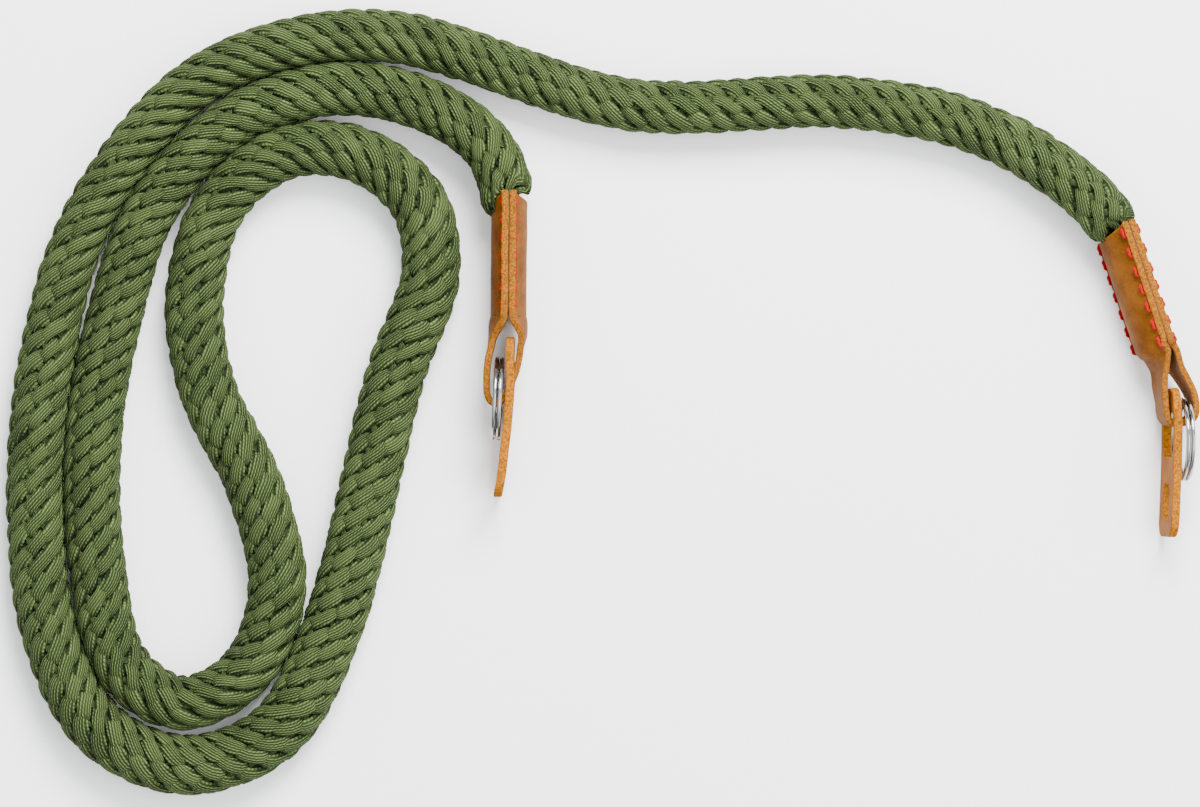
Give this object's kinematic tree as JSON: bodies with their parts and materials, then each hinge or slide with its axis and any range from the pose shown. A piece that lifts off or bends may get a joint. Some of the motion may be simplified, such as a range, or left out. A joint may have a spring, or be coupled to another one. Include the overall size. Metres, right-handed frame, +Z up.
{
  "type": "rope camera strap with leather ends",
  "caption": "Braided cotton rope strap lying in loops, each end gripped by a folded, stitched leather wrap with a split ring and a leather guard tab.",
  "frame": {"origin": "bottom centre of the leather and metal ends, on the surface that the strap lies on", "axes": "+X from the left end towards the right end, +Y from the split rings towards the wraps' mouths, +Z up from the surface"},
  "size_m": [0.2205, 0.145, 0.0156],
  "materials": {
    "rope": "braided cotton rope, moss green",
    "wrap_leather": "smooth tan leather, softly mottled, raw cut edges",
    "tab_leather": "tan leather with pale flesh side and raw cut edges",
    "ring": "bright plated spring steel"
  },
  "bodies": {
    "root": {"rope": "rope", "wrap_left": "wrap_leather", "split_ring_left": "ring", "guard_tab_left": "tab_leather", "wrap_right": "wrap_leather", "split_ring_right": "ring", "guard_tab_right": "tab_leather"}
  },
  "joints": []
}
